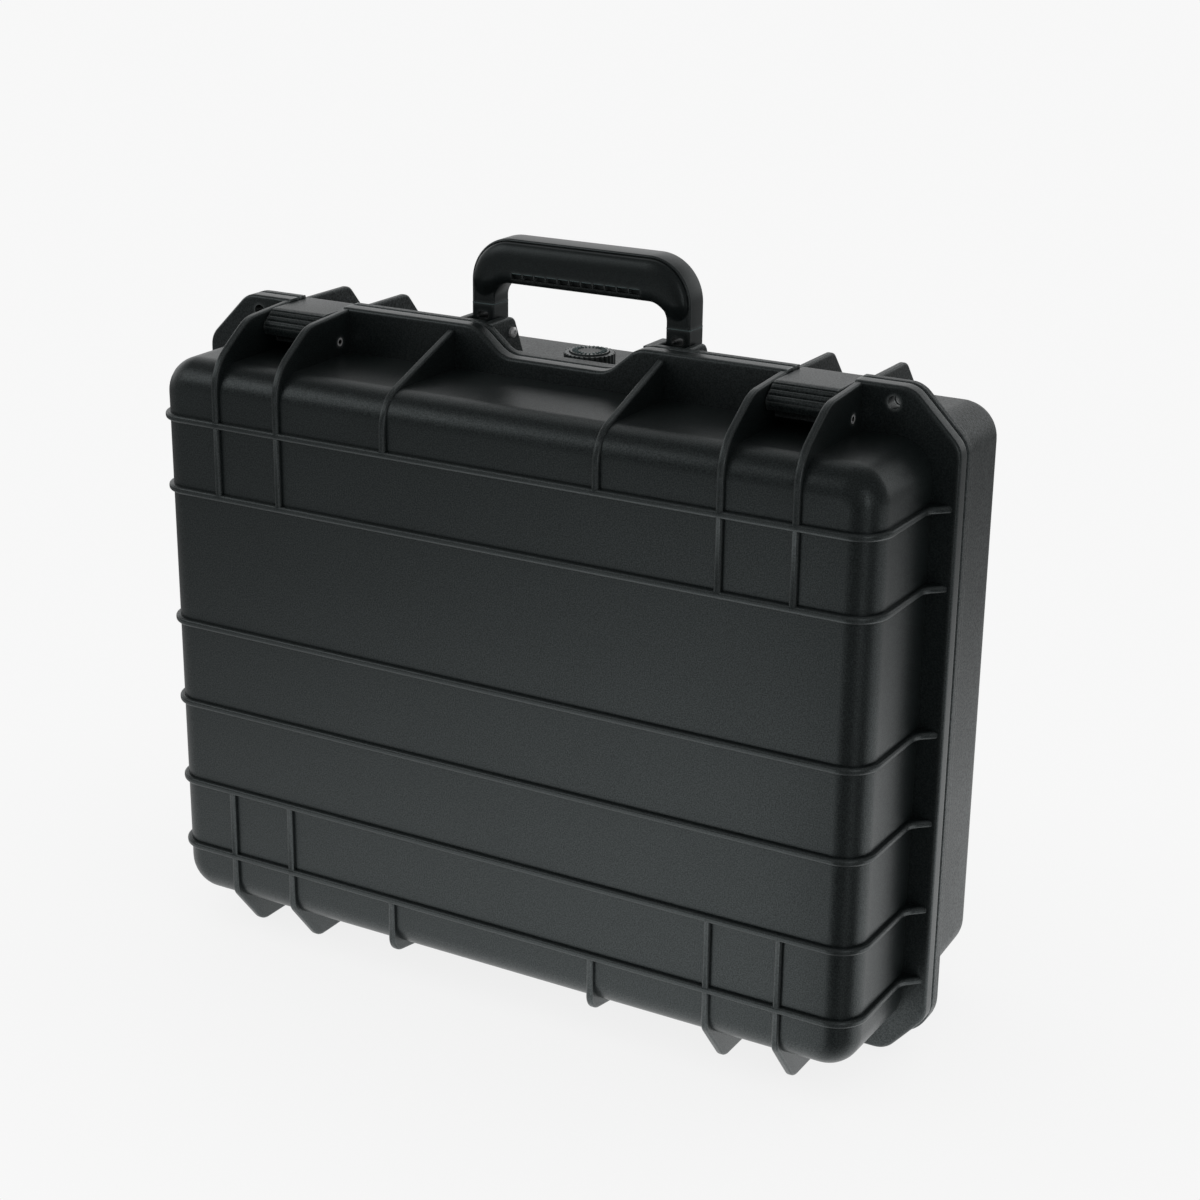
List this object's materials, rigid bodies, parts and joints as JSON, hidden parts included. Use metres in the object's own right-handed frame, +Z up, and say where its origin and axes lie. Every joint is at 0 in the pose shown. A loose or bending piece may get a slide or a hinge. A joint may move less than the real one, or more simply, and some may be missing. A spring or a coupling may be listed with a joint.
{
  "type": "hard case",
  "caption": "Moulded hard carrying case with a ribbed hinged lid, lever latches, a folding top handle, padlock eyes and a knurled pressure valve, standing on its hinge side",
  "frame": {"origin": "middle of the closed case's footprint, on the floor under its feet", "axes": "+X along the case, to the right seen from the lid; +Y from the lid towards the base; +Z up, from the hinge side to the handle"},
  "size_m": [0.464, 0.176, 0.4145],
  "materials": {
    "lid_plastic": "fine matt grain",
    "base_plastic": "coarse matt grain",
    "latch_plastic": "matt grain",
    "handle_plastic": "satin",
    "grip_rubber": "satin",
    "seal_rubber": "matt",
    "valve_plastic": "satin",
    "membrane": "matt",
    "steel": "drawn steel"
  },
  "bodies": {
    "base": {"base_shell": "base_plastic", "handle_pin_left": "steel", "handle_pin_right": "steel", "latch_pin_left": "steel", "latch_pin_right": "steel", "hinge_pin_left": "steel", "hinge_pin_right": "steel", "valve_body": "valve_plastic", "valve_nut": "valve_plastic", "valve_seal": "seal_rubber", "valve_membrane": "membrane"},
    "lid": {"lid_shell": "lid_plastic", "lid_seal": "seal_rubber", "catch_pin_left": "steel", "catch_pin_right": "steel"},
    "handle": {"handle_frame": "handle_plastic", "handle_grip": "grip_rubber"},
    "left_latch": {"latch_left": "latch_plastic"},
    "right_latch": {"latch_right": "latch_plastic"},
    "knob": {"valve_knob": "valve_plastic"}
  },
  "joints": [
    {"name": "lid_hinge", "type": "hinge", "parent": "base", "child": "lid", "pos_m": [0, -0.01, 0.0044], "axis": [1, 0, 0], "range_deg": [0, 105]},
    {"name": "left_latch_hinge", "type": "hinge", "parent": "base", "child": "left_latch", "pos_m": [-0.15535, 0.009, 0.3516], "axis": [-1, 0, 0], "range_deg": [0, 100]},
    {"name": "right_latch_hinge", "type": "hinge", "parent": "base", "child": "right_latch", "pos_m": [0.15535, 0.009, 0.3516], "axis": [-1, 0, 0], "range_deg": [0, 100]},
    {"name": "handle_hinge", "type": "hinge", "parent": "base", "child": "handle", "pos_m": [0, 0.014, 0.361], "axis": [1, 0, 0], "range_deg": [-90, 35]},
    {"name": "knob_turn", "type": "hinge", "parent": "base", "child": "knob", "pos_m": [0, 0.019, 0.352], "axis": [0, 0, 1], "range_deg": [0, 180]}
  ]
}
